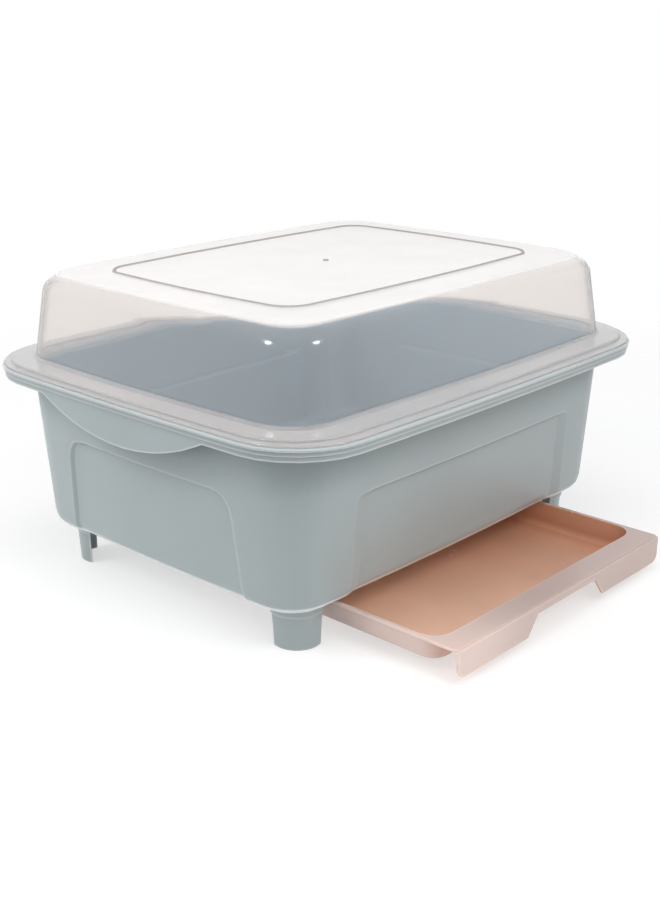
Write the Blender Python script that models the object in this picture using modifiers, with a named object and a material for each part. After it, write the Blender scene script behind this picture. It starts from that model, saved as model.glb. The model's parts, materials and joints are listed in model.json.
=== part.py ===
# Covered dish drainer.
# A tapered tub on four plug-in feet, a clear domed lid, a drip tray that slides on two
# rails under the tub's floor, a lift-out plate rack and a cutlery holder.
# Metres, +Z up. The tray pulls out towards -Y. The origin is on the table, under the
# middle of the drainer's box with the tray pulled out as it is modelled.

import math

import bmesh
import bpy
from mathutils import Matrix, Vector

# Fits and working values
touch_gap = 0.0003
cut_overrun = 0.002
join_sink = 0.0012
weld_distance = 0.00001
half_turn = math.pi
quarter_turn = math.pi / 2
corner_steps = 6
wall_spans = 4
slot_end_steps = 4
sharp_angle = math.radians(32)

# Tub rim
rim_half_length = 0.235
rim_half_width = 0.1953
rim_corner_radius = 0.060
rim_top_z = 0.1849
rim_thickness = 0.0026
rim_edge_radius = 0.0008
rim_lip_height = 0.0028
rim_band_height = 0.0036
rim_step = 0.0009
rim_step_slope = 0.0003
skirt_height = 0.0104
skirt_wall = 0.0018
side_bow = 0.005
grip_half_width = 0.097
grip_drop = 0.0236

# Tub walls and floor
ground_clearance = 0.0355
tub_wall = 0.0026
floor_thickness = 0.003
rim_end_overhang = 0.0205
rim_side_overhang = 0.0281
tub_end_taper = 0.0100
tub_side_taper = 0.0102
tub_top_corner_radius = 0.042
tub_bottom_corner_radius = 0.032
floor_edge_radius = 0.015

# Recessed panels on the tub's walls
panel_depth = 0.0028
panel_ledge = 0.0022
panel_edge_width = 0.0012
end_panel_drop = 0.0545
side_panel_drop = 0.058
end_panel_margin = 0.058
end_panel_flare = 0.008
end_panel_corner_radius = 0.019
end_panel_ramp = 0.0048
side_panel_margin = 0.0615
side_panel_flare = 0.003
side_panel_corner_radius = 0.005
side_panel_ramp = 0.012
panel_round_shares = (1.0, 0.6, 0.32, 0.12)
end_wall_spans = 11
side_wall_spans = 5
floor_edge_steps = 4

# Drain slots in the tub's floor
slot_length = 0.030
slot_width = 0.005
slot_columns = 5
slot_rows = 7
slot_pitch_x = 0.048
slot_pitch_y = 0.028

# Feet, which plug into bosses on the tub's floor
foot_end_inset = 0.0375
foot_side_inset = 0.034
foot_top_radius = 0.0216
foot_bottom_radius = 0.0202
foot_wall = 0.0025
foot_collar_height = 0.006
foot_collar_step = 0.0013
foot_half_angle = math.radians(67)
foot_plate_reach = 0.009
foot_steps = 36
peg_radius = 0.0062
peg_height = 0.009
foot_boss_wall = 0.0026

# Drip tray
tray_pull_out = 0.100
tray_front_reach = 0.0087
tray_back_inset = 0.0427
tray_foot_gap = 0.0014
tray_rim_z = 0.0311
tray_rim_thickness = 0.0021
tray_side_flange = 0.0036
tray_front_flange = 0.0225
tray_depth = 0.0225
tray_wall = 0.0015
tray_wall_inset = 0.0026
tray_floor_radius = 0.006
tray_corner_radius = 0.018
tray_front_corner_radius = 0.004
tray_round_steps = 4
apron_height = 0.0240
apron_thickness = 0.0022
apron_side_inset = 0.0008
apron_crease = 0.0005
apron_corner_radius = 0.008
apron_notch_half_top = 0.042
apron_notch_half_bottom = 0.0548
apron_notch_strip = 0.0075

# Tray rails under the tub
rail_end_inset = 0.039
rail_clearance = 0.0008
rail_web = 0.0024
rail_ledge_thickness = 0.0022
rail_flange_width = 0.006
rail_flange_thickness = 0.002
rail_stop = 0.0024
rail_pin_radius = 0.0025
rail_pin_height = 0.0065
rail_pin_inset = 0.030
rail_pin_steps = 16
rail_boss_wall = 0.0022

# Lid
lid_end_margin = 0.0059
lid_side_margin = 0.0090
lid_corner_radius = 0.054
lid_flange_rise = 0.0047
lid_wall = 0.0018
lid_edge_radius = 0.0012
lid_brim_margin = 0.0016
lid_brim_thickness = 0.0014
lid_brim_edge = 0.0004
lid_end_ledge = 0.0199
lid_side_ledge = 0.0217
dome_base_corner_radius = 0.034
dome_base_fillet = 0.0025
dome_draft = 0.0062
dome_shoulder_height = 0.0547
dome_shoulder_rise = 0.0177
dome_shoulder_inset = 0.0190
dome_height = 0.0732
crown_end_margin = 0.0512
crown_side_margin = 0.0537
crown_corner_radius = 0.021
crown_step = 0.0005
crown_bead_width = 0.0034
crown_bead_height = 0.0012
lid_rib_clearance = 0.0012
lid_rib_depth = 0.0060
lid_rib_thickness = 0.0018
gate_radius = 0.0026
gate_height = 0.0009
gate_steps = 16
shoulder_steps = 6

# Plate rack
rack_stand = 0.0075
rack_plate = 0.0032
rack_end_gap = 0.0205
rack_holder_gap = 0.016
rack_side_gap = 0.052
rack_corner_radius = 0.020
rack_rim_height = 0.006
rack_rim_width = 0.0034
rack_edge_margin = 0.012
rack_foot_radius = 0.005
rack_foot_steps = 12
rack_foot_inset_x = 0.024
rack_foot_inset_y = 0.010
fin_count = 8
fin_end_margin = 0.0345
fin_thickness = 0.0032
fin_width = 0.042
fin_height = 0.0255
fin_top_width = 0.022
fin_centre_y = 0.038
rack_slot_width = 0.013
rack_slot_rib = 0.010

# Cutlery holder
holder_end_gap = 0.0185
holder_half_length = 0.075
holder_half_width = 0.027
holder_height = 0.0995
holder_wall = 0.0020
holder_draft = 0.002
holder_corner_radius = 0.012
holder_floor_radius = 0.003
holder_rim_width = 0.0022
holder_rim_height = 0.004
holder_bays = 3
holder_bay_slots = 3
holder_slot_width = 0.005
holder_slot_pitch = 0.013
holder_slot_margin_top = 0.026
holder_slot_margin_bottom = 0.016
holder_drain_length = 0.030

# Tub levels and sizes that follow from the ones above
floor_top_z = ground_clearance + floor_thickness
rim_underside_z = rim_top_z - rim_thickness
tub_top_half_length = rim_half_length - rim_end_overhang
tub_top_half_width = rim_half_width - rim_side_overhang
tub_bottom_half_length = tub_top_half_length - tub_end_taper
tub_bottom_half_width = tub_top_half_width - tub_side_taper
end_panel_top_z = rim_top_z - end_panel_drop
end_panel_half_width = tub_bottom_half_width - end_panel_margin
side_panel_top_z = rim_top_z - side_panel_drop
side_panel_half_length = tub_bottom_half_length - side_panel_margin

# Places under the floor that follow
foot_place_x = tub_bottom_half_length - foot_end_inset
foot_place_y = tub_bottom_half_width - foot_side_inset
foot_top_z = ground_clearance - touch_gap
tray_half_width = foot_place_x - foot_bottom_radius - tray_foot_gap
tray_closed_front = tub_bottom_half_width + tray_front_reach
tray_length = tray_closed_front + tub_bottom_half_width - tray_back_inset
tray_front_y = tray_closed_front + tray_pull_out
rail_half_length = tub_bottom_half_width - rail_end_inset
rail_pin_place = rail_half_length - rail_pin_inset

# Lid levels and sizes that follow
lid_lip_z = rim_top_z + touch_gap
lid_flange_z = rim_top_z + lid_flange_rise
lid_flange_underside_z = lid_flange_z - lid_wall
lid_half_length = rim_half_length - lid_end_margin
lid_half_width = rim_half_width - lid_side_margin
dome_base_half_length = lid_half_length - lid_end_ledge
dome_base_half_width = lid_half_width - lid_side_ledge
dome_shoulder_z = lid_flange_z + dome_shoulder_height
crown_half_length = dome_base_half_length - crown_end_margin
crown_half_width = dome_base_half_width - crown_side_margin
crown_z = lid_flange_z + dome_height

# Places inside the tub that follow
holder_centre_x = holder_end_gap + holder_half_width - tub_bottom_half_length
holder_top_z = floor_top_z + holder_height
rack_right_x = tub_bottom_half_length - rack_end_gap
rack_left_x = holder_centre_x + holder_half_width + rack_holder_gap
rack_half_length = (rack_right_x - rack_left_x) / 2
rack_centre_x = (rack_right_x + rack_left_x) / 2
rack_half_width = tub_bottom_half_width - rack_side_gap
fin_pitch = (rack_half_length - fin_end_margin) * 2 / (fin_count - 1)

# The middle of the whole drainer, tray pulled out
drainer_centre_y = (rim_half_width + side_bow - tray_front_y) / 2


def new_collection(name):
    made = bpy.data.collections.new(name)
    bpy.context.scene.collection.children.link(made)
    return made


def clear_scene():
    for old in list(bpy.data.objects):
        bpy.data.objects.remove(old, do_unlink=True)


clear_scene()
parts = new_collection("covered_dish_drainer")
cutters = new_collection("cutters")
drainer_frame = bpy.data.objects.new("drainer_frame", None)
drainer_frame.location.y = -drainer_centre_y
parts.objects.link(drainer_frame)


def plastic(name, colour, roughness, transmission=0.0, alpha=1.0):
    """A plastic's material; colour is linear red, green and blue."""
    made = bpy.data.materials.new(name)
    made.use_nodes = True
    shader = made.node_tree.nodes["Principled BSDF"]
    shader.inputs["Base Color"].default_value = (*colour, 1.0)
    shader.inputs["Roughness"].default_value = roughness
    shader.inputs["Metallic"].default_value = 0.0
    shader.inputs["Transmission Weight"].default_value = transmission
    shader.inputs["Alpha"].default_value = alpha
    return made


def add_part(name, mesh, material):
    """A sub-part: its mesh in the parts collection, smooth but for its sharp edges."""
    made = bpy.data.objects.new(name, mesh)
    made.parent = drainer_frame
    mesh.materials.clear()
    mesh.materials.append(material)
    mesh.shade_smooth()
    mesh.set_sharp_from_angle(angle=sharp_angle)
    parts.objects.link(made)
    return made


def add_helper(name, mesh):
    """A solid that cuts or joins a sub-part and isn't one itself."""
    made = bpy.data.objects.new(name, mesh)
    made.parent = drainer_frame
    made.hide_render = True
    made.display_type = "WIRE"
    cutters.objects.link(made)
    return made


def combine(part, helper, operation):
    modifier = part.modifiers.new(helper.name, "BOOLEAN")
    modifier.operation = operation
    modifier.solver = "EXACT"
    modifier.object = helper


def mesh_from(shape):
    """The bmesh as a new mesh, with its faces pointing out."""
    bmesh.ops.recalc_face_normals(shape, faces=shape.faces)
    mesh = bpy.data.meshes.new("solid")
    shape.to_mesh(mesh)
    shape.free()
    return mesh


def between(low, high, share):
    return low + (high - low) * share


def arc(centre_x, centre_y, radius, start, sweep, steps):
    """Points on a round stretch, both ends included."""
    angles = [start + sweep * step / steps for step in range(steps + 1)]
    return [(centre_x + radius * math.cos(a), centre_y + radius * math.sin(a)) for a in angles]


def plain_wall(start, end, spans=wall_spans):
    """Even points along a straight wall, neither set in nor hung down."""
    return [(between(start, end, step / spans), 0.0, 0.0) for step in range(spans + 1)]


def ring(half_x, half_y, radius, z, walls=None, front_radius=None, bow=0.0, centre=(0.0, 0.0)):
    """A closed row of points round a rounded rectangle, anticlockwise from its +X wall.

    walls gives the points of the walls that face X and of those that face Y, each as
    (place along the wall, how far it is set in, how far it hangs down).
    """
    wall_pair = walls or (plain_wall, plain_wall)
    front = radius if front_radius is None else front_radius
    radii = (radius, radius, front, front)
    row = []
    for quarter in range(4):
        faces_x = quarter % 2 == 0
        reach, run = (half_x, half_y) if faces_x else (half_y, half_x)
        turn = Matrix.Rotation(quarter * quarter_turn, 3, "Z")
        corner = radii[quarter]
        for place, inset, drop in wall_pair[quarter % 2](radii[quarter - 1] - run, run - corner):
            row.append(turn @ Vector((reach - inset, place, z - drop)))
        for x, y in arc(reach - corner, run - corner, corner, 0.0, quarter_turn, corner_steps)[1:-1]:
            row.append(turn @ Vector((x, y, z)))
    for point in row:
        share_x, share_y = point.x / half_x, point.y / half_y
        point.x += bow * share_x * (1 - share_y**2)
        point.y += bow * share_y * (1 - share_x**2)
        point.x += centre[0]
        point.y += centre[1]
    return row


def loft(rows):
    """A closed solid through rows of as many points each, its two ends filled."""
    shape = bmesh.new()
    laid = [[shape.verts.new(point) for point in row] for row in rows]
    for low, high in zip(laid, laid[1:]):
        for here in range(len(low)):
            ahead = (here + 1) % len(low)
            shape.faces.new((low[here], low[ahead], high[ahead], high[here]))
    shape.faces.new(laid[0])
    shape.faces.new(laid[-1])
    bmesh.ops.remove_doubles(shape, verts=shape.verts, dist=weld_distance)
    return mesh_from(shape)


def slab(outline, thickness, matrix=None):
    """A flat plate of the outline, half of its thickness to each side of it."""
    curve = bpy.data.curves.new("outline", "CURVE")
    curve.dimensions = "2D"
    curve.fill_mode = "BOTH"
    curve.extrude = thickness / 2
    spline = curve.splines.new("POLY")
    spline.points.add(len(outline) - 1)
    for point, (x, y) in zip(spline.points, outline):
        point.co = (x, y, 0.0, 1.0)
    spline.use_cyclic_u = True
    drawn = bpy.data.objects.new("outline", curve)
    cutters.objects.link(drawn)
    mesh = bpy.data.meshes.new_from_object(drawn.evaluated_get(bpy.context.evaluated_depsgraph_get()))
    bpy.data.objects.remove(drawn)
    shape = bmesh.new()
    shape.from_mesh(mesh)
    bmesh.ops.remove_doubles(shape, verts=shape.verts, dist=weld_distance)
    mesh = mesh_from(shape)
    if matrix is not None:
        mesh.transform(matrix)
    return mesh


def slot_outline(length, width):
    """A straight slot with round ends, along X."""
    reach = (length - width) / 2
    right = arc(reach, 0.0, width / 2, -quarter_turn, half_turn, slot_end_steps)
    left = arc(-reach, 0.0, width / 2, quarter_turn, half_turn, slot_end_steps)
    return right + left


def rod(radius, low, high, x, y, steps):
    """An upright round rod from low to high."""
    shape = bmesh.new()
    bmesh.ops.create_cone(
        shape,
        cap_ends=True,
        segments=steps,
        radius1=radius,
        radius2=radius,
        depth=high - low,
        matrix=Matrix.Translation((x, y, (low + high) / 2)),
    )
    return mesh_from(shape)


def gathered(meshes):
    """One mesh that holds several separate solids."""
    shape = bmesh.new()
    for mesh in meshes:
        shape.from_mesh(mesh)
    return mesh_from(shape)


def copies(mesh, places):
    """One mesh that holds a copy of the solid at each place."""
    made = []
    for place in places:
        made.append(mesh.copy())
        made[-1].transform(Matrix.Translation(place))
    return gathered(made)


def even_places(count, pitch):
    return [(step - (count - 1) / 2) * pitch for step in range(count)]


# Tub


def tub_half_sizes(z):
    """The outside of the tub's walls at a level: half length, half width and corner radius."""
    share = (z - ground_clearance) / (rim_underside_z - ground_clearance)
    return (
        between(tub_bottom_half_length, tub_top_half_length, share),
        between(tub_bottom_half_width, tub_top_half_width, share),
        between(tub_bottom_corner_radius, tub_top_corner_radius, share),
    )


def panel_edge(z, top_z, half_width, flare, radius):
    """Where a panel's side edge runs at a level, round the panel's top corner and flaring below."""
    below = max(top_z - z, 0.0)
    edge = half_width + flare * below / (top_z - ground_clearance)
    if below < radius:
        edge -= radius - math.sqrt(radius**2 - (radius - below) ** 2)
    return edge


def panel_set_in(z, top_z):
    """How far a panel is set in at a level: nothing above it, its depth below its sloping ledge."""
    return panel_depth * min(max((top_z - z) / panel_ledge, 0.0), 1.0)


def end_panel_edge(z):
    radius = end_panel_corner_radius
    return panel_edge(z, end_panel_top_z, end_panel_half_width, end_panel_flare, radius)


def side_panel_edge(z):
    radius = side_panel_corner_radius
    return panel_edge(z, side_panel_top_z, side_panel_half_length, side_panel_flare, radius)


def panelled_wall(edge, ramp, depth, spans, hang=None):
    """A wall with a panel from -edge to edge; hang says how far its points hang down."""

    def wall(start, end):
        outer = min(edge, end - ramp)
        inner = outer - ramp
        soft = panel_edge_width / 2
        top = depth * soft / ramp
        flat = inner - soft
        slope = [(inner + soft, depth - top), (outer - soft, top), (outer + soft, 0.0)]
        places = [(start, 0.0)] + [(-place, inset) for place, inset in reversed(slope)]
        places += [(between(-flat, flat, step / spans), depth) for step in range(spans + 1)]
        places += slope + [(end, 0.0)]
        return [(place, inset, hang(place) if hang else 0.0) for place, inset in places]

    return wall


def grip_hang(place):
    """How far the hand grip's arc hangs below the skirt at a place along the end."""
    if abs(place) >= grip_half_width:
        return 0.0
    radius = (grip_half_width**2 + grip_drop**2) / (2 * grip_drop)
    return math.sqrt(radius**2 - place**2) - (radius - grip_drop)


def tub_row(z, inset, level=None):
    """A row round the tub's walls, set in from their outside, at z or drawn at another level."""
    half_x, half_y, radius = tub_half_sizes(z)
    end_depth = panel_set_in(z, end_panel_top_z)
    side_depth = panel_set_in(z, side_panel_top_z)
    return ring(
        half_x - inset,
        half_y - inset,
        radius - inset,
        z if level is None else level,
        walls=(
            panelled_wall(end_panel_edge(z), end_panel_ramp, end_depth, end_wall_spans),
            panelled_wall(side_panel_edge(z), side_panel_ramp, side_depth, side_wall_spans),
        ),
        bow=side_bow,
    )


def rim_row(inset, z, hangs=False):
    hang = grip_hang if hangs else None
    side_edge = side_panel_edge(side_panel_top_z)
    walls = (
        panelled_wall(grip_half_width, end_panel_ramp, 0.0, end_wall_spans, hang),
        panelled_wall(side_edge, side_panel_ramp, 0.0, side_wall_spans),
    )
    return ring(
        rim_half_length - inset,
        rim_half_width - inset,
        rim_corner_radius - inset,
        z,
        walls=walls,
        bow=side_bow,
    )


def wall_rows(inset, bottom_z, edge_radius):
    """Rows from the floor's edge up past the panels, on one face of the wall."""
    rows = []
    for x, y in arc(0.0, 0.0, edge_radius, -quarter_turn, quarter_turn, floor_edge_steps)[:-1]:
        rows.append(tub_row(bottom_z + edge_radius + y, inset + edge_radius - x))
    levels = [end_panel_top_z - share * end_panel_corner_radius for share in panel_round_shares]
    levels += [side_panel_top_z - panel_ledge, side_panel_top_z, end_panel_top_z]
    for z in [bottom_z + edge_radius] + sorted(levels):
        rows.append(tub_row(z, inset))
    return rows


def tub_mesh():
    outside = wall_rows(0.0, ground_clearance, floor_edge_radius)
    inside = wall_rows(tub_wall, floor_top_z, floor_edge_radius - tub_wall)
    skirt_z = rim_top_z - skirt_height
    lip_z = rim_top_z - rim_lip_height
    band_z = lip_z - rim_band_height
    skirt_inset = rim_step * 2
    rim = [
        tub_row(rim_underside_z, 0.0),
        rim_row(skirt_inset + skirt_wall, rim_underside_z),
        rim_row(skirt_inset + skirt_wall, skirt_z, hangs=True),
        rim_row(skirt_inset, skirt_z, hangs=True),
        rim_row(skirt_inset, band_z),
        rim_row(rim_step, band_z + rim_step_slope),
        rim_row(rim_step, lip_z),
        rim_row(0.0, lip_z + rim_step_slope),
        rim_row(0.0, rim_top_z - rim_edge_radius),
        rim_row(rim_edge_radius, rim_top_z),
        tub_row(rim_underside_z, tub_wall - rim_edge_radius, level=rim_top_z),
        tub_row(rim_underside_z, tub_wall, level=rim_top_z - rim_edge_radius),
    ]
    return loft(outside + rim + inside[::-1])


def foot_places():
    """Each foot's name, its place and the turn that points its outer side at the tub's corner."""
    corners = (("back_right", 1, 1), ("back_left", -1, 1), ("front_left", -1, -1), ("front_right", 1, -1))
    for quarter, (name, side_x, side_y) in enumerate(corners):
        yield f"foot_{name}", side_x * foot_place_x, side_y * foot_place_y, quarter * quarter_turn


def rail_pin_places():
    across = tray_half_width + rail_clearance + rail_web / 2
    return [(x, y) for x in (-across, across) for y in (-rail_pin_place, rail_pin_place)]


def make_tub():
    tub = add_part("tub", tub_mesh(), plastic("tub_plastic", (0.37, 0.44, 0.46), 0.38))
    foot_spots = [(x, y) for _, x, y, _ in foot_places()]
    bosses, sockets = [], []
    for spots, radius, height, wall, steps in (
        (foot_spots, peg_radius, peg_height, foot_boss_wall, foot_steps // 2),
        (rail_pin_places(), rail_pin_radius, rail_pin_height, rail_boss_wall, rail_pin_steps),
    ):
        hole_radius = radius + touch_gap
        hole_top = ground_clearance + height + touch_gap
        for x, y in spots:
            bosses.append(rod(hole_radius + wall, floor_top_z - join_sink, hole_top + wall, x, y, steps))
            sockets.append(rod(hole_radius, ground_clearance - cut_overrun, hole_top, x, y, steps))
    combine(tub, add_helper("tub_bosses", gathered(bosses)), "UNION")
    combine(tub, add_helper("tub_sockets", gathered(sockets)), "DIFFERENCE")
    drain = slab(slot_outline(slot_length, slot_width), floor_thickness + cut_overrun * 2)
    drain.transform(Matrix.Translation((0.0, 0.0, ground_clearance + floor_thickness / 2)))
    places = [
        (x, y, 0.0)
        for x in even_places(slot_columns, slot_pitch_x)
        for y in even_places(slot_rows, slot_pitch_y)
    ]
    combine(tub, add_helper("tub_drain_slots", copies(drain, places)), "DIFFERENCE")


# Feet


def foot_mesh():
    """A C-shaped plate under a round plate with a peg; its outer side points to +X and +Y."""
    plate_z = foot_top_z - foot_collar_height
    inner_top = foot_top_radius - foot_wall
    collar = foot_top_radius + foot_collar_step
    profile = [
        (0.0, foot_top_z + peg_height),
        (peg_radius, foot_top_z + peg_height),
        (peg_radius, foot_top_z),
        (collar, foot_top_z),
        (collar, plate_z),
        (foot_top_radius, plate_z - foot_collar_step),
        (foot_bottom_radius, 0.0),
        (foot_bottom_radius - foot_wall, 0.0),
        (inner_top, foot_top_z - foot_wall),
        (0.0, foot_top_z - foot_wall),
    ]
    line = bmesh.new()
    points = [line.verts.new((radius, 0.0, z)) for radius, z in profile]
    for start, end in zip(points, points[1:]):
        line.edges.new((start, end))
    mesh = bpy.data.meshes.new("foot_profile")
    line.to_mesh(mesh)
    line.free()
    foot = add_helper("foot_blank", mesh)
    foot.parent = None
    screw = foot.modifiers.new("turn", "SCREW")
    screw.steps = foot_steps
    screw.render_steps = foot_steps
    screw.use_merge_vertices = True
    screw.merge_threshold = weld_distance
    cuts = (
        (foot_top_radius * math.cos(foot_half_angle), -cut_overrun, foot_top_z - foot_wall),
        (-foot_plate_reach, -cut_overrun, foot_top_z + peg_height + cut_overrun),
    )
    depth = collar * 2
    outward = Matrix.Rotation(half_turn / 4, 4, "Z")
    cutting = []
    for reach, low, high in cuts:
        block = bmesh.new()
        bmesh.ops.create_cube(block, size=1.0)
        placed = outward @ Matrix.Translation((reach - depth / 2, 0.0, (low + high) / 2))
        sized = placed @ Matrix.Diagonal((depth, depth * 2, high - low, 1.0))
        bmesh.ops.transform(block, matrix=sized, verts=block.verts)
        cutting.append(add_helper("foot_cut", mesh_from(block)))
        cutting[-1].parent = None
        combine(foot, cutting[-1], "DIFFERENCE")
    made = bpy.data.meshes.new_from_object(foot.evaluated_get(bpy.context.evaluated_depsgraph_get()))
    for helper in [foot] + cutting:
        bpy.data.objects.remove(helper)
    return made


def make_feet():
    mesh = foot_mesh()
    material = plastic("foot_plastic", (0.37, 0.44, 0.46), 0.38)
    for name, x, y, turn in foot_places():
        foot = add_part(name, mesh, material)
        foot.location = (x, y, 0.0)
        foot.rotation_euler.z = turn


# Drip tray, modelled pulled out


def tray_row(inset, z, radius, front_radius=None, front_inset=None):
    """A row round the tray, set in from the edge of its rim."""
    front = inset if front_inset is None else front_inset
    half_y = (tray_length - inset - front) / 2
    return ring(
        tray_half_width - inset,
        half_y,
        radius,
        z,
        front_radius=front_radius,
        centre=(0.0, front + half_y - tray_front_y),
    )


def tray_hollow_rows(inset, front_inset, radius, top_z, bottom_z, edge_radius):
    """Rows down one face of the tray's walls and round to its floor."""
    rows = [tray_row(inset, top_z, radius, front_inset=front_inset)]
    for x, y in arc(0.0, 0.0, edge_radius, 0.0, -quarter_turn, tray_round_steps):
        set_in = tray_wall_inset + edge_radius - x
        rows.append(
            tray_row(
                inset + set_in,
                bottom_z + edge_radius + y,
                max(radius - set_in, tray_front_corner_radius),
                front_inset=front_inset + set_in,
            )
        )
    return rows


def apron_outline():
    """The pull apron seen from the front: two tabs with round outer corners and a notch between."""
    half = tray_half_width - apron_side_inset
    top = tray_rim_z - apron_crease
    bottom = tray_rim_z - apron_height
    notch = tray_rim_z - apron_notch_strip
    round_x, round_z = half - apron_corner_radius, bottom + apron_corner_radius
    right = [(apron_notch_half_top, notch), (apron_notch_half_bottom, bottom)]
    right += arc(round_x, round_z, apron_corner_radius, -quarter_turn, quarter_turn, corner_steps)
    right += [(half, top)]
    return right + [(-x, z) for x, z in reversed(right)]


def make_tray():
    underside_z = tray_rim_z - tray_rim_thickness
    floor_z = tray_rim_z - tray_depth
    front_edge = apron_thickness / 2
    inner = tray_hollow_rows(
        tray_side_flange,
        tray_front_flange,
        tray_corner_radius,
        tray_rim_z,
        floor_z + tray_wall,
        tray_floor_radius,
    )
    outer = tray_hollow_rows(
        tray_side_flange - tray_wall,
        tray_front_flange - tray_wall,
        tray_corner_radius + tray_wall,
        underside_z,
        floor_z,
        tray_floor_radius + tray_wall,
    )
    rim = [
        tray_row(0.0, underside_z, tray_corner_radius, tray_front_corner_radius, front_edge),
        tray_row(0.0, tray_rim_z, tray_corner_radius, tray_front_corner_radius, front_edge),
    ]
    material = plastic("tray_plastic", (0.55, 0.33, 0.22), 0.3, 0.3)
    tray = add_part("drip_tray", loft(outer[::-1] + rim + inner), material)
    at_front = Matrix.Translation((0.0, apron_thickness / 2 - tray_front_y, 0.0))
    apron = slab(apron_outline(), apron_thickness, at_front @ Matrix.Rotation(quarter_turn, 4, "X"))
    combine(tray, add_helper("tray_apron", apron), "UNION")


# Tray rails


def make_rail(name, side):
    """A channel under the floor, open towards the tray and closed at its back end."""
    web_in = tray_half_width + rail_clearance
    web_out = web_in + rail_web
    top = ground_clearance - touch_gap
    ledge_z = tray_rim_z - tray_rim_thickness - touch_gap
    ledge_low = ledge_z - rail_ledge_thickness
    ledge_in = tray_half_width - tray_side_flange + tray_wall + touch_gap
    outline = [
        (web_in, ledge_z),
        (ledge_in, ledge_z),
        (ledge_in, ledge_low),
        (web_out, ledge_low),
        (web_out, top - rail_flange_thickness),
        (web_out + rail_flange_width, top - rail_flange_thickness),
        (web_out + rail_flange_width, top),
        (web_in, top),
    ]
    along = Matrix.Rotation(quarter_turn, 4, "X")
    mesh = slab([(side * x, z) for x, z in outline], rail_half_length * 2, along)
    rail = add_part(name, mesh, plastic(f"{name}_plastic", (0.37, 0.44, 0.46), 0.4))
    pins = [
        rod(rail_pin_radius, top - join_sink, ground_clearance + rail_pin_height, x, y, rail_pin_steps)
        for x, y in rail_pin_places()
        if x * side > 0
    ]
    stop_outline = [
        (side * (ledge_in + join_sink / 2), ledge_z - join_sink),
        (side * (web_in + join_sink), ledge_z - join_sink),
        (side * (web_in + join_sink), top - rail_flange_thickness),
        (side * (ledge_in + join_sink / 2), top - rail_flange_thickness),
    ]
    at_back = Matrix.Translation((0.0, rail_half_length - rail_stop / 2 - join_sink / 2, 0.0)) @ along
    stop = slab(stop_outline, rail_stop, at_back)
    combine(rail, add_helper(f"{name}_pins_and_stop", gathered(pins + [stop])), "UNION")


# Lid


def lid_row(half_x, half_y, radius, z):
    return ring(half_x, half_y, radius, z, bow=side_bow)


def dome_rows(inset):
    """Rows from the crown panel's edge down the dome to its base, on one face of the wall."""
    top_x = dome_base_half_length - dome_draft
    top_y = dome_base_half_width - dome_draft
    rows = [
        lid_row(
            crown_half_length - crown_bead_width,
            crown_half_width - crown_bead_width,
            crown_corner_radius - crown_bead_width,
            crown_z - inset,
        )
    ]
    if inset == 0.0:
        for set_in in (crown_bead_width / 2, crown_bead_width / 4):
            rows.append(
                lid_row(
                    crown_half_length - set_in,
                    crown_half_width - set_in,
                    crown_corner_radius - set_in,
                    crown_z + crown_bead_height,
                )
            )
    edge_z = crown_z - crown_step - inset
    rows.append(lid_row(crown_half_length, crown_half_width, crown_corner_radius, edge_z))
    for step in range(shoulder_steps + 1):
        angle = quarter_turn * (1 - step / shoulder_steps)
        set_in = inset + (dome_shoulder_inset - inset) * (1 - math.cos(angle))
        rise = (dome_shoulder_rise - inset) * math.sin(angle)
        radius = dome_base_corner_radius - inset
        rows.append(lid_row(top_x - set_in, top_y - set_in, radius, dome_shoulder_z + rise))
    return rows


def make_lid():
    flange = (lid_half_length, lid_half_width, lid_corner_radius)
    brim = [size - lid_brim_margin for size in (rim_half_length, rim_half_width, rim_corner_radius)]
    rib = [size - tub_wall - lid_rib_clearance for size in tub_half_sizes(rim_underside_z)]
    base_z = lid_flange_z + dome_base_fillet
    outside = dome_rows(0.0) + [
        lid_row(dome_base_half_length, dome_base_half_width, dome_base_corner_radius, base_z),
        lid_row(
            dome_base_half_length + dome_base_fillet,
            dome_base_half_width + dome_base_fillet,
            dome_base_corner_radius + dome_base_fillet,
            lid_flange_z,
        ),
    ]
    brim_z = lid_lip_z + lid_brim_thickness
    rib_z = lid_flange_underside_z - lid_rib_depth
    rim = []
    for sizes, set_in, z in (
        (flange, lid_edge_radius, lid_flange_z),
        (flange, 0.0, lid_flange_z - lid_edge_radius),
        (flange, 0.0, brim_z),
        (brim, lid_brim_edge, brim_z),
        (brim, 0.0, brim_z - lid_brim_edge),
        (brim, 0.0, lid_lip_z),
        (flange, lid_wall, lid_lip_z),
        (flange, lid_wall, lid_flange_underside_z),
        (rib, 0.0, lid_flange_underside_z),
        (rib, 0.0, rib_z),
        (rib, lid_rib_thickness, rib_z),
        (rib, lid_rib_thickness, lid_flange_underside_z),
    ):
        rim.append(lid_row(*(size - set_in for size in sizes), z))
    inside = dome_rows(lid_wall) + [
        lid_row(
            dome_base_half_length - lid_wall,
            dome_base_half_width - lid_wall,
            dome_base_corner_radius - lid_wall,
            base_z,
        )
    ]
    material = plastic("lid_plastic", (0.9, 0.9, 0.9), 0.08, 1.0, 0.35)
    lid = add_part("lid", loft(outside + rim + inside[::-1]), material)
    gate = rod(gate_radius, crown_z - lid_wall / 2, crown_z + gate_height, 0.0, 0.0, gate_steps)
    combine(lid, add_helper("lid_gate", gate), "UNION")


# Plate rack


def rack_row(inset, z):
    return ring(
        rack_half_length - inset,
        rack_half_width - inset,
        rack_corner_radius - inset,
        z,
        centre=(rack_centre_x, 0.0),
    )


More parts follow.
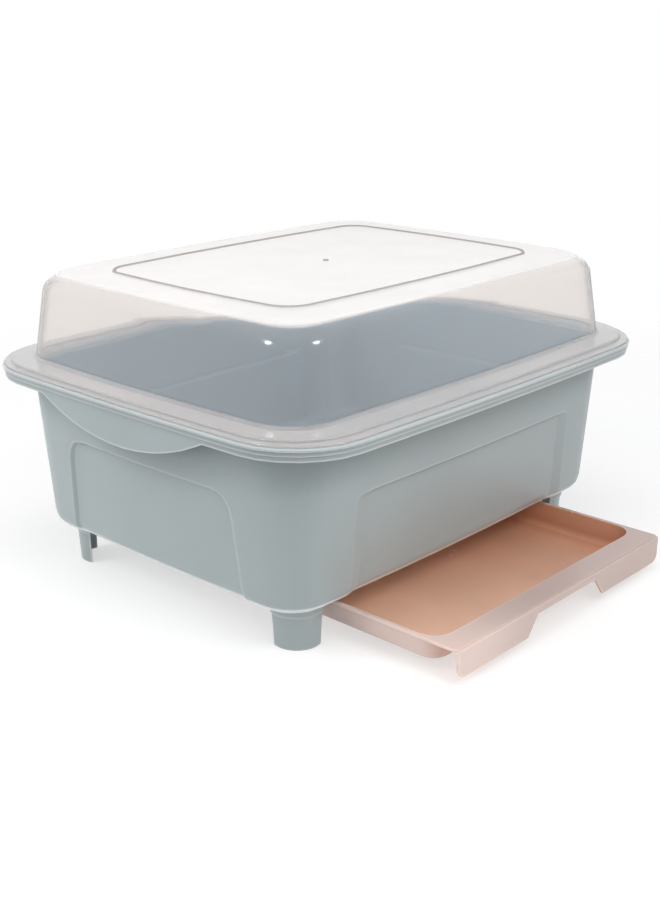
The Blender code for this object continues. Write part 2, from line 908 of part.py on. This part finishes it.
def fin_outline():
    """A plate divider seen along the row of dividers, wide at its foot and round at its top."""
    reach = fin_top_width / 2
    top = arc(0.0, fin_height - reach, reach, 0.0, half_turn, corner_steps)
    return [(fin_width / 2, -join_sink)] + top + [(-fin_width / 2, -join_sink)]


def make_rack():
    low = floor_top_z + rack_stand
    high = low + rack_plate
    rim_high = low + rack_rim_height
    rows = [rack_row(0.0, low), rack_row(0.0, rim_high), rack_row(rack_rim_width, rim_high)]
    rows.append(rack_row(rack_rim_width, high))
    rack = add_part("plate_rack", loft(rows), plastic("rack_plastic", (0.37, 0.44, 0.46), 0.42))
    slot_run = rack_half_width - rack_rim_width - rack_edge_margin - rack_slot_rib / 2
    along_y = Matrix.Rotation(quarter_turn, 4, "Z")
    opening = slab(slot_outline(slot_run, rack_slot_width), rack_plate + cut_overrun * 2, along_y)
    across = slot_run / 2 + rack_slot_rib / 2
    places = [
        (rack_centre_x + x, y, low + rack_plate / 2)
        for x in even_places(fin_count + 1, fin_pitch)
        for y in (-across, across)
    ]
    combine(rack, add_helper("rack_openings", copies(opening, places)), "DIFFERENCE")
    fin = slab(fin_outline(), fin_thickness, along_y @ Matrix.Rotation(quarter_turn, 4, "X"))
    fin_places = [
        (rack_centre_x + x, y, high)
        for x in even_places(fin_count, fin_pitch)
        for y in (-fin_centre_y, fin_centre_y)
    ]
    foot_low = floor_top_z + touch_gap
    reach_x = rack_half_length - rack_foot_inset_x
    reach_y = rack_half_width - rack_foot_inset_y
    feet = [
        rod(rack_foot_radius, foot_low, low + join_sink, rack_centre_x + x, y, rack_foot_steps)
        for x in (-reach_x, 0.0, reach_x)
        for y in (-reach_y, reach_y)
    ]
    combine(rack, add_helper("rack_fins_and_feet", gathered([copies(fin, fin_places)] + feet)), "UNION")


# Cutlery holder


def holder_row(inset, z, low_z):
    taper = holder_draft * (holder_top_z - z) / (holder_top_z - low_z)
    set_in = inset + taper
    return ring(
        holder_half_width - set_in,
        holder_half_length - set_in,
        max(holder_corner_radius - set_in, holder_wall),
        z,
        centre=(holder_centre_x, 0.0),
    )


def make_holder():
    low = floor_top_z + touch_gap
    floor = low + holder_wall
    band_z = holder_top_z - holder_rim_height
    rows = [
        holder_row(holder_floor_radius, low, low),
        holder_row(0.0, low + holder_floor_radius, low),
        holder_row(0.0, band_z - holder_rim_width, low),
        holder_row(-holder_rim_width, band_z, low),
        holder_row(-holder_rim_width, holder_top_z, low),
        holder_row(holder_wall, holder_top_z, low),
        holder_row(holder_wall, floor + holder_floor_radius, low),
        holder_row(holder_wall + holder_floor_radius, floor, low),
    ]
    holder = add_part("cutlery_holder", loft(rows), plastic("holder_plastic", (0.37, 0.44, 0.46), 0.42))
    bay = (holder_half_length - holder_wall) * 2 / holder_bays
    wall_top = holder_top_z - holder_slot_margin_top
    wall_low = low + join_sink
    reach = holder_half_width - holder_draft - holder_wall / 2
    screen = [(-reach, wall_low), (reach, wall_low), (reach, wall_top), (-reach, wall_top)]
    stand_up = Matrix.Rotation(quarter_turn, 4, "X")
    screens = copies(
        slab(screen, holder_wall, stand_up),
        [(holder_centre_x, y, 0.0) for y in even_places(holder_bays - 1, bay)],
    )
    combine(holder, add_helper("holder_screens", screens), "UNION")
    slot_high = holder_top_z - holder_slot_margin_top
    slot_low = low + holder_slot_margin_bottom
    upright = Matrix.Rotation(quarter_turn, 4, "Y")
    outline = slot_outline(slot_high - slot_low, holder_slot_width)
    slot = slab(outline, (holder_half_width + cut_overrun) * 2, upright)
    drain = slab(slot_outline(holder_drain_length, holder_slot_width), (holder_wall + cut_overrun) * 2)
    slot_places, drain_places = [], []
    for bay_y in even_places(holder_bays, bay):
        for step in even_places(holder_bay_slots, holder_slot_pitch):
            slot_places.append((holder_centre_x, bay_y + step, (slot_high + slot_low) / 2))
            drain_places.append((holder_centre_x, bay_y + step, low + holder_wall / 2))
    cutting = gathered([copies(slot, slot_places), copies(drain, drain_places)])
    combine(holder, add_helper("holder_slots", cutting), "DIFFERENCE")


make_tub()
make_feet()
make_rail("tray_rail_left", -1)
make_rail("tray_rail_right", 1)
make_tray()
make_lid()
make_rack()
make_holder()
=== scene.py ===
"""Looks of the covered dish drainer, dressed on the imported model."""

import json
import math

import bpy
from mathutils import Matrix, Vector


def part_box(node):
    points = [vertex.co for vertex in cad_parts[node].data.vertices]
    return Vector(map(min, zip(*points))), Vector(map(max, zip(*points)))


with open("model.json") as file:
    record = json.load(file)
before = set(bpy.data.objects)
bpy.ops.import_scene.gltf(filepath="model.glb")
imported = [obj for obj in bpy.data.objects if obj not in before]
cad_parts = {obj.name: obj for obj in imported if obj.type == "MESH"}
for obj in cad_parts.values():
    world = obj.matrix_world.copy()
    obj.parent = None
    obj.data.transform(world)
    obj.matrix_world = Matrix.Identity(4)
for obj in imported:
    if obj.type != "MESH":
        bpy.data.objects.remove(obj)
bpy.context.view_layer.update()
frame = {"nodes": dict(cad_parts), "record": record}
nodes = frame["nodes"]

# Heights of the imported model
tub_bottom_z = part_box("tub")[0][2]
rim_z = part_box("tub")[1][2]
lid_top_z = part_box("lid")[1][2]

# Colours of the plastics, as linear red, green and blue
white = (1.0, 1.0, 1.0)
blue_grey = (0.39, 0.445, 0.455)
# Painted light: the blue-grey made bluer and darker for the light inside the tub; the rack and holder
# take it too
painted_inside_blue = (0.29, 0.405, 0.475)
lid_clear = (0.95, 0.905, 0.88)
# The tray's one plastic: paler on its lips and outside, deeper in its hollow, which is partly painted
# shade
tray_deep = (0.92, 0.56, 0.40)
tray_pale = (0.67, 0.54, 0.50)

# Tints that multiply a plastic's colour, all painted light and shade: highlights along edges, a glint
# on the tub's bottom edge, shade in creases and under the rim, light and shade across the tray
no_tint = white
# Painted highlight: lighter colour along the edges of the tub, feet and rails
painted_edge_highlight = (1.5, 1.38, 1.36)
# Painted highlight: a glint along the tub's bottom edge
lit_edge_tint = (2.1, 1.95, 1.9)
# Painted shade under the tub's rim
under_rim_shade_tint = (0.4, 0.43, 0.43)
# Painted shade in creases
crease_shade_tint = (0.2, 0.21, 0.22)
# Painted highlight along the tray's edges and painted shade in its creases
tray_edge_highlight_tint = (1.15, 1.2, 1.2)
tray_crease_shade_tint = (0.82, 0.62, 0.52)
# Painted light on the tray's left end and painted shade on its right, inside and on its left side
tray_left_light_tint = (1.25, 1.36, 1.42)
tray_right_shade_tint = (0.9, 0.81, 0.75)
tray_left_side_light_tint = (1.3, 1.35, 1.35)

# Veils over the clear lid: painted glare on the crown, a pale veil on the flange, painted shade on the
# bead and along the outlines
crown_glare_veil = (0.96, 0.935, 0.925)
flange_veil = (0.66, 0.625, 0.615)
# Painted shade on the crown's bead
painted_bead_shade = (0.40, 0.365, 0.35)
# Painted shade along the lid's outlines
painted_outline_shade = (0.50, 0.485, 0.475)

# Light that clear plastic lets through
lid_light = (0.90, 0.96, 1.0)
tray_light = (0.62, 0.5, 0.44)

# Reach of the painted highlights along edges and of the painted shade in creases and under the rim, in
# metres
edge_reach = 0.0022
crease_reach = 0.0035
under_rim_reach = 0.05
tray_crease_reach = 0.022
surface_samples = 6

# Depth of the bumps, in metres, and how strongly they turn the surface
grain_depth = 0.00001
flow_depth = 0.0006
ripple_depth = 0.0006
bump_strength = 0.12

# Where a noise is darkest and lightest, and the factors that it gives a colour there
cloud_places = (0.3, 0.7)
moulded_cloud = (0.965, 1.03)
tray_pale_cloud = (0.97, 1.02)
tray_deep_cloud = (0.92, 1.06)

# Places of the colour sockets in Blender's Mix node
mix_first = 6
mix_second = 7
mix_result = 2


# Node helpers

class Shader:
    """The node tree of a material or a world, with a few short calls to build it."""

    def __init__(self, owner):
        owner.use_nodes = True
        self.owner = owner
        self.tree = owner.node_tree

    def node(self, kind, **settings):
        made = self.tree.nodes.new(kind)
        for key, setting in settings.items():
            setattr(made, key, setting)
        return made

    def put(self, value, socket):
        """Links an output to a socket, or sets the socket to a plain value."""
        if isinstance(value, bpy.types.NodeSocket):
            self.tree.links.new(value, socket)
        else:
            socket.default_value = value

    def fill(self, made, **values):
        """Puts values into a node's inputs, whose names have underscores for spaces here."""
        for key, value in values.items():
            self.put(value, made.inputs[key.replace("_", " ")])
        return made

    def line_up(self, made, *values):
        """Puts values into a node's first inputs, in their order."""
        for socket, value in zip(made.inputs, values):
            self.put(value, socket)
        return made

    def plastic(self, **values):
        """The material's own surface, with some of its inputs filled."""
        return self.fill(self.tree.nodes["Principled BSDF"], **values).outputs["BSDF"]

    def show(self, surface):
        """Makes a surface or a background the result of the tree."""
        for made in self.tree.nodes:
            if made.bl_idname in ("ShaderNodeOutputMaterial", "ShaderNodeOutputWorld"):
                self.fill(made, Surface=surface)

    def math(self, operation, *values):
        return self.line_up(self.node("ShaderNodeMath", operation=operation), *values).outputs["Value"]

    def product(self, first, *others):
        for other in others:
            first = self.math("MULTIPLY", first, other)
        return first

    def vector_math(self, operation, output, *values):
        made = self.node("ShaderNodeVectorMath", operation=operation)
        return self.line_up(made, *values).outputs[output]

    def dot(self, first, second):
        return self.vector_math("DOT_PRODUCT", "Value", first, second)

    def place(self, kind):
        """One of the texture coordinates, such as Object or Normal."""
        return self.node("ShaderNodeTexCoord").outputs[kind]

    def parts_of(self, vector):
        """X, Y and Z of a vector."""
        return self.line_up(self.node("ShaderNodeSeparateXYZ"), vector).outputs

    def noise(self, scale, detail, stretch=(1.0, 1.0, 1.0)):
        """Noise that stays on the object, drawn out along an axis whose stretch is under 1."""
        mapping = self.fill(self.node("ShaderNodeMapping"), Vector=self.place("Object"), Scale=stretch)
        made = self.node("ShaderNodeTexNoise")
        self.fill(made, Vector=mapping.outputs["Vector"], Scale=scale, Detail=detail)
        return made.outputs["Fac"]

    def spread(self, value, low, high):
        """Goes from low to high while value goes from 0 to 1."""
        made = self.node("ShaderNodeMapRange")
        return self.fill(made, Value=value, To_Min=low, To_Max=high).outputs["Result"]

    def rise(self, value, start, end, low=0.0, high=1.0):
        """Goes smoothly from low to high while value goes from start to end."""
        made = self.node("ShaderNodeMapRange", interpolation_type="SMOOTHSTEP")
        self.fill(made, Value=value, From_Min=start, From_Max=end, To_Min=low, To_Max=high)
        return made.outputs["Result"]

    def ramp(self, value, *stops):
        """Goes from the first stop's colour to the second's, each stop a place and a colour."""
        made = self.fill(self.node("ShaderNodeValToRGB"), Fac=value)
        for element, (place, colour) in zip(made.color_ramp.elements, stops):
            element.position = place
            element.color = (*colour, 1.0)
        return made.outputs["Color"]

    def fade(self, value, first, second):
        """The first colour where value is 0, the second where it is 1."""
        return self.ramp(value, (0.0, first), (1.0, second))

    def mixed(self, factor, first, second, **settings):
        made = self.node("ShaderNodeMix", data_type="RGBA", **settings)
        self.fill(made, Factor=factor)
        self.put(first, made.inputs[mix_first])
        self.put(second, made.inputs[mix_second])
        return made.outputs[mix_result]

    def tinted(self, colour, tint):
        return self.mixed(1.0, colour, tint, blend_type="MULTIPLY")

    def clouded(self, cloud, colour, factors):
        """A colour that a noise makes a little darker and lighter, between two factors."""
        return self.ramp(cloud, *zip(cloud_places, (shade(colour, factor) for factor in factors)))

    def bump(self, height, distance, **values):
        """The surface's normal, made uneven by a height."""
        made = self.node("ShaderNodeBump")
        self.fill(made, Height=height, Distance=distance, Strength=bump_strength, **values)
        return made.outputs["Normal"]

    def blended(self, factor, first, second):
        """The first surface where factor is 0, the second where it is 1."""
        return self.line_up(self.node("ShaderNodeMixShader"), factor, first, second).outputs["Shader"]

    def see_through(self, tint):
        return self.fill(self.node("ShaderNodeBsdfTransparent"), Color=(*tint, 1.0)).outputs["BSDF"]

    def edges(self, tint):
        """A painted highlight along the edges, where a rounded normal leaves the true one."""
        sharp_cosine = 0.990
        flat_cosine = 0.9985
        rounded = self.node("ShaderNodeBevel", samples=surface_samples)
        self.fill(rounded, Radius=edge_reach)
        true_normal = self.node("ShaderNodeNewGeometry").outputs["Normal"]
        cosine = self.dot(rounded.outputs["Normal"], true_normal)
        return self.ramp(cosine, (sharp_cosine, tint), (flat_cosine, no_tint))

    def creases(self, tint, reach):
        """A painted shade in the creases, where little light gets in."""
        shut_in = 0.5
        open_to_light = 0.95
        light = self.node("ShaderNodeAmbientOcclusion", samples=surface_samples, only_local=True)
        self.fill(light, Distance=reach)
        return self.ramp(light.outputs["AO"], (shut_in, tint), (open_to_light, no_tint))

    def facing_in(self, centre):
        """1 on the faces that look towards a hollow's centre, 0 on the outside."""
        from_centre = self.vector_math("SUBTRACT", "Vector", self.place("Object"), centre)
        return self.math("LESS_THAN", self.dot(from_centre, self.place("Normal")), 0.0)

    def seen_directly(self):
        """1 where the camera sees the surface, straight, through clear walls or in gloss."""
        under_one_bounce = 0.5
        path = self.node("ShaderNodeLightPath").outputs
        seen = self.math("MAXIMUM", path["Is Camera Ray"], path["Is Transmission Ray"])
        seen = self.math("MAXIMUM", seen, path["Is Glossy Ray"])
        return self.product(seen, self.math("LESS_THAN", path["Diffuse Depth"], under_one_bounce))


def shade(colour, factor):
    return tuple(channel * factor for channel in colour)


def hollow_centre(name, below_lip):
    """The middle of a node's box, a little below its highest face."""
    low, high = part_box(name)
    return ((low[0] + high[0]) / 2, (low[1] + high[1]) / 2, high[2] - below_lip)


# Plastics

def tub_tones(s, cloud, base):
    """The tub's painted highlight on its bottom edge, painted shade under its rim, and its inside
    painted bluer and darker for the light there.
    """
    lit_height = 0.006
    unlit_height = 0.009
    centre_below_rim = 0.002
    z = s.parts_of(s.place("Object"))["Z"]
    # Painted highlight: lighter colour over the tub's lowest few millimetres
    lit = s.rise(z, tub_bottom_z + lit_height, tub_bottom_z + unlit_height, low=1.0, high=0.0)
    base = s.tinted(base, s.fade(lit, no_tint, lit_edge_tint))
    # Painted shade under the rim, from occlusion of a wide reach
    base = s.tinted(base, s.creases(under_rim_shade_tint, under_rim_reach))
    # Painted light: the inside takes the bluer, darker colour
    inside = s.clouded(cloud, painted_inside_blue, moulded_cloud)
    return s.mixed(s.facing_in(hollow_centre("tub", centre_below_rim)), base, inside)


def moulded_plastic(name, colour, edge_highlight_tint=painted_edge_highlight, tones=None):
    """Satin moulded plastic: faint cloudiness, fine grain and flow marks, painted highlights along
    edges, painted shade in creases.
    """
    s = Shader(bpy.data.materials.new(name))
    cloud = s.noise(scale=7.0, detail=3.0)
    # Painted highlight along the edges
    base = s.tinted(s.clouded(cloud, colour, moulded_cloud), s.edges(edge_highlight_tint))
    if tones:
        base = tones(s, cloud, base)
    grain = s.bump(s.noise(scale=1700.0, detail=1.0), grain_depth)
    flow = s.noise(scale=26.0, detail=1.0, stretch=(1.0, 1.0, 0.25))
    s.plastic(
        # Painted shade in the creases
        Base_Color=s.tinted(base, s.creases(crease_shade_tint, crease_reach)),
        Roughness=s.spread(s.noise(scale=55.0, detail=4.0), low=0.31, high=0.43),
        Normal=s.bump(flow, flow_depth, Normal=grain),
        Subsurface_Weight=0.25,
        Subsurface_Scale=0.004,
        Subsurface_Radius=(0.8, 1.0, 1.0),
        IOR=1.49,
    )
    return s.owner


def lamps_pass(s, surface, tint):
    """Lamp light passes a clear surface as tinted light, and so does light caught inside it."""
    most_walls = 5.5
    path = s.node("ShaderNodeLightPath").outputs
    caught = s.math("GREATER_THAN", path["Transmission Depth"], most_walls)
    return s.blended(s.math("MAXIMUM", path["Is Shadow Ray"], caught), surface, s.see_through(tint))


def veiled(s, surface, colour, amount):
    """A surface with a diffuse veil of a colour over it, as dense as amount says."""
    veil = s.fill(s.node("ShaderNodeBsdfDiffuse"), Color=(*colour, 1.0))
    return s.blended(amount, surface, veil.outputs["BSDF"])


def crown_glare_density(s, z, level, cloud, bead):
    """Painted glare: dense on the dome's flat crown, none on its walls and on the bead."""
    clear_depth = 0.008
    dense_depth = 0.003
    density = 0.6
    high_up = s.rise(z, lid_top_z - clear_depth, lid_top_z - dense_depth)
    flat = s.rise(level, start=0.88, end=0.97)
    beside_bead = s.math("MULTIPLY_ADD", bead, -density, density)
    return s.product(high_up, flat, cloud, beside_bead)


def on_bead(s, z):
    """1 on the sides and top of the bead, which stands on the crown's face, 0 below it."""
    bead_height = 0.0012
    bead_foot = 0.00001
    bead_side = 0.0002
    face_z = lid_top_z - bead_height
    return s.rise(z, face_z + bead_foot, face_z + bead_side)


def flange_density(s, z, level):
    """Dense on the lid's flat flange, gone a little way up the dome."""
    dense_height = 0.0055
    clear_height = 0.0095
    density = 0.42
    low_down = s.rise(z, rim_z + dense_height, rim_z + clear_height, low=density, high=0.0)
    return s.product(low_down, s.rise(level, start=0.2, end=0.8, low=0.3))


def outline_shade_density(s, level):
    """Painted shade, dense where an upright wall is seen along its face."""
    facing = s.fill(s.node("ShaderNodeLayerWeight"), Blend=0.5).outputs["Facing"]
    upright = s.rise(level, start=0.6, end=0.9, low=1.0, high=0.0)
    return s.product(upright, s.rise(facing, start=0.42, end=0.95, high=0.85))


def clear_plastic(name, colour):
    """Clear moulded plastic with a faint haze and a slight ripple; painted glare on its crown, a pale
    veil on its flange, painted shade on its bead and outlines.
    """
    bead_shade_density = 0.75
    s = Shader(bpy.data.materials.new(name))
    ripple = s.noise(scale=9.0, detail=0.0, stretch=(1.0, 1.0, 0.3))
    surface = s.plastic(
        Base_Color=(*colour, 1.0),
        Transmission_Weight=0.93,
        IOR=1.3,
        Coat_Weight=1.0,
        Coat_Roughness=0.15,
        Roughness=s.spread(s.noise(scale=18.0, detail=3.0), low=0.05, high=0.1),
        Normal=s.bump(ripple, ripple_depth),
    )
    z = s.parts_of(s.place("Object"))["Z"]
    level = s.math("ABSOLUTE", s.parts_of(s.place("Normal"))["Z"])
    cloud = s.spread(s.noise(scale=14.0, detail=3.0), low=0.85, high=1.1)
    bead = on_bead(s, z)
    # Painted glare on the flat crown
    surface = veiled(s, surface, crown_glare_veil, crown_glare_density(s, z, level, cloud, bead))
    surface = veiled(s, surface, flange_veil, s.product(cloud, flange_density(s, z, level)))
    # Painted shade on the bead
    surface = veiled(s, surface, painted_bead_shade, s.product(bead, bead_shade_density))
    # Painted shade along the outlines
    surface = veiled(s, surface, painted_outline_shade, outline_shade_density(s, level))
    s.show(lamps_pass(s, surface, lid_light))
    return s.owner


def tinted_plastic(name, deep, pale):
    """See-through tinted plastic: pale on its lips and outside, deeper in its hollow, partly as
    painted shade; painted light and shade across it, painted highlights on edges and painted shade in
    creases.
    """
    s = Shader(bpy.data.materials.new(name))
    left_x = -0.14
    right_x = 0.14
    side_end_x = -0.02
    centre_below_lip = 0.001
    x = s.parts_of(s.place("Object"))["X"]
    cloud = s.noise(scale=9.0, detail=3.0)
    outside = s.clouded(cloud, pale, tray_pale_cloud)
    inside = s.clouded(cloud, deep, tray_deep_cloud)
    # Painted light towards the left end and painted shade towards the right
    inside = s.tinted(inside, s.fade(s.rise(x, left_x, right_x), tray_left_light_tint, tray_right_shade_tint))
    outside = s.tinted(outside, s.fade(s.rise(x, left_x, side_end_x), tray_left_side_light_tint, no_tint))
    # The hollow's deeper colour is partly painted shade
    base = s.mixed(s.facing_in(hollow_centre("drip_tray", centre_below_lip)), outside, inside)
    # Painted highlight along the edges
    base = s.tinted(base, s.edges(tray_edge_highlight_tint))
    surface = s.plastic(
        # Painted shade in the creases
        Base_Color=s.tinted(base, s.creases(tray_crease_shade_tint, tray_crease_reach)),
        Roughness=s.spread(s.noise(scale=60.0, detail=3.0), low=0.2, high=0.3),
        Transmission_Weight=0.2,
        IOR=1.45,
    )
    s.show(lamps_pass(s, surface, tray_light))
    return s.owner


looks = {
    "tub": moulded_plastic("tub_look", blue_grey, tones=tub_tones),
    "foot": moulded_plastic("foot_look", blue_grey),
    "rail": moulded_plastic("rail_look", blue_grey),
    "rack": moulded_plastic("rack_look", painted_inside_blue, edge_highlight_tint=no_tint),
    "holder": moulded_plastic("holder_look", painted_inside_blue, edge_highlight_tint=no_tint),
    "lid": clear_plastic("lid_look", lid_clear),
    "tray": tinted_plastic("tray_look", tray_deep, tray_pale),
}


# Soft edges and smooth shading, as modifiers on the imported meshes

weld_distance = 0.00001
flat_angle = math.radians(0.2)
sharp_angle = math.radians(32)
bevel_segments = 2
narrow_bevel = 0.0004
wide_bevel = 0.0005
wide_bevel_nodes = ("tub", "plate_rack")


def fresh_shading():
    """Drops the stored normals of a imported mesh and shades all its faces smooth."""
    group = bpy.data.node_groups.new("fresh_shading", "GeometryNodeTree")
    group.interface.new_socket("Geometry", in_out="INPUT", socket_type="NodeSocketGeometry")
    group.interface.new_socket("Geometry", in_out="OUTPUT", socket_type="NodeSocketGeometry")
    mesh = group.nodes.new("NodeGroupInput").outputs["Geometry"]
    for stored in ("custom_normal", "sharp_edge"):
        drop = group.nodes.new("GeometryNodeRemoveAttribute")
        drop.inputs["Name"].default_value = stored
        group.links.new(mesh, drop.inputs["Geometry"])
        mesh = drop.outputs["Geometry"]
    smooth = group.nodes.new("GeometryNodeSetShadeSmooth")
    end = group.nodes.new("NodeGroupOutput")
    group.links.new(mesh, smooth.inputs["Geometry"])
    group.links.new(smooth.outputs["Geometry"], end.inputs["Geometry"])
    return group


def soften(name, node, shading):
    """Adds the modifiers that weld, merge flat faces and round the edges."""
    node.modifiers.new("fresh_shading", "NODES").node_group = shading
    weld = node.modifiers.new("weld", "WELD")
    weld.merge_threshold = weld_distance
    whole = node.modifiers.new("whole_faces", "DECIMATE")
    whole.decimate_type = "DISSOLVE"
    whole.angle_limit = flat_angle
    bevel = node.modifiers.new("soft_edges", "BEVEL")
    bevel.width = wide_bevel if name in wide_bevel_nodes else narrow_bevel
    bevel.segments = bevel_segments
    bevel.limit_method = "ANGLE"
    bevel.angle_limit = sharp_angle
    normals = node.modifiers.new("face_normals", "WEIGHTED_NORMAL")
    normals.mode = "FACE_AREA"


shading = fresh_shading()
slot_of = {row["node"]: row["material_slot"] for row in frame["record"]["subparts"]}

for name, node in nodes.items():
    node.data.materials.clear()
    node.data.materials.append(looks[slot_of[name]])
    soften(name, node, shading)


# Camera at the photograph's angle

camera_place = (-0.8182, -0.7299, 0.4773)
camera_turn = math.radians(-47.78)
camera_tilt = math.radians(70.74)

view = bpy.data.cameras.new("photo_view")
view.sensor_fit = "HORIZONTAL"
view.sensor_width = 36.0
view.lens = 70.03
view.shift_x = -0.0194
camera = bpy.data.objects.new("photo_view", view)
bpy.context.scene.collection.objects.link(camera)
turned = Matrix.Rotation(camera_turn, 4, "Z") @ Matrix.Rotation(camera_tilt, 4, "X")
camera.matrix_world = Matrix.Translation(camera_place) @ turned
bpy.context.scene.camera = camera


# Floor, world and studio lamps

floor_radius = 1.6
floor_corners = 96
floor_solid_radius = 0.35
floor_clear_radius = 1.1
lamp_target = (0.0, 0.0, 0.12)


def round_floor():
    angles = [math.tau * corner / floor_corners for corner in range(floor_corners)]
    rim = [(floor_radius * math.cos(angle), floor_radius * math.sin(angle), 0.0) for angle in angles]
    mesh = bpy.data.meshes.new("floor")
    mesh.from_pydata(rim, [], [tuple(range(floor_corners))])
    made = bpy.data.objects.new("floor", mesh)
    bpy.context.scene.collection.objects.link(made)
    return made


def floor_look():
    """Plain pale floor that keeps the shadow near the object and fades into the white backdrop."""
    unseen_grey = (0.9, 0.9, 0.9)
    seen_grey = (0.5, 0.5, 0.5)
    seen_glow = 0.57
    s = Shader(bpy.data.materials.new("floor_look"))
    seen = s.seen_directly()
    matt = s.plastic(
        Base_Color=s.fade(seen, unseen_grey, seen_grey),
        Roughness=0.9,
        Specular_IOR_Level=0.1,
    )
    glow = s.fill(s.node("ShaderNodeEmission"), Strength=s.product(seen, seen_glow))
    both = s.line_up(s.node("ShaderNodeAddShader"), matt, glow.outputs["Emission"])
    away = s.vector_math("LENGTH", "Value", s.place("Object"))
    clear = s.rise(away, floor_solid_radius, floor_clear_radius)
    s.show(s.blended(clear, both.outputs["Shader"], s.see_through(white)))
    return s.owner


def studio_world():
    """Light from all round, dimmer from the camera's side, with a white backdrop where it is seen."""
    light = 0.5
    dimmest = 0.15
    backdrop = 1.0
    camera_side = (-0.73, -0.68, 0.0)
    dim_from = 0.3
    dim_to = 1.0
    world = bpy.data.worlds.new("studio")
    bpy.context.scene.world = world
    s = Shader(world)
    towards_camera = s.dot(s.place("Generated"), camera_side)
    strength = s.rise(towards_camera, dim_from, dim_to, light, dimmest)
    lit = s.fill(s.tree.nodes["Background"], Color=(*white, 1.0), Strength=strength)
    shown = s.fill(s.node("ShaderNodeBackground"), Color=(*white, 1.0), Strength=backdrop)
    s.show(s.blended(s.seen_directly(), lit.outputs["Background"], shown.outputs["Background"]))


def softbox(name, place, size, power, mirrored=False, lighting=True):
    """A round lamp aimed at the object, unseen by the camera."""
    lamp = bpy.data.lights.new(name, "AREA")
    lamp.shape = "DISK"
    lamp.size = size
    lamp.energy = power
    made = bpy.data.objects.new(name, lamp)
    made.visible_glossy = mirrored
    made.visible_diffuse = lighting
    made.visible_camera = False
    made.visible_transmission = False
    bpy.context.scene.collection.objects.link(made)
    aim = Vector(lamp_target) - Vector(place)
    made.matrix_world = Matrix.Translation(place) @ aim.to_track_quat("-Z", "Y").to_matrix().to_4x4()


floor = round_floor()
floor.data.materials.append(floor_look())

studio_world()
softbox("glint_right", place=(0.07, -1.41, 0.96), size=0.42, power=6.5, mirrored=True, lighting=False)
softbox("glint_left", place=(-1.45, 0.19, 0.96), size=0.42, power=6.5, mirrored=True, lighting=False)
softbox("lamp_right", place=(-0.2, -1.0, 1.05), size=0.6, power=4.5)
softbox("lamp_left", place=(-1.15, 0.6, 1.2), size=0.6, power=6.1)
softbox("fill_right", place=(-0.15, -1.0, 0.12), size=0.6, power=1.7)
softbox("fill_left", place=(-1.2, 0.5, 0.15), size=0.6, power=2.7)
softbox("lamp_top", place=(-0.35, -0.25, 1.9), size=1.2, power=9.0)

bpy.context.scene.view_settings.view_transform = "Standard"
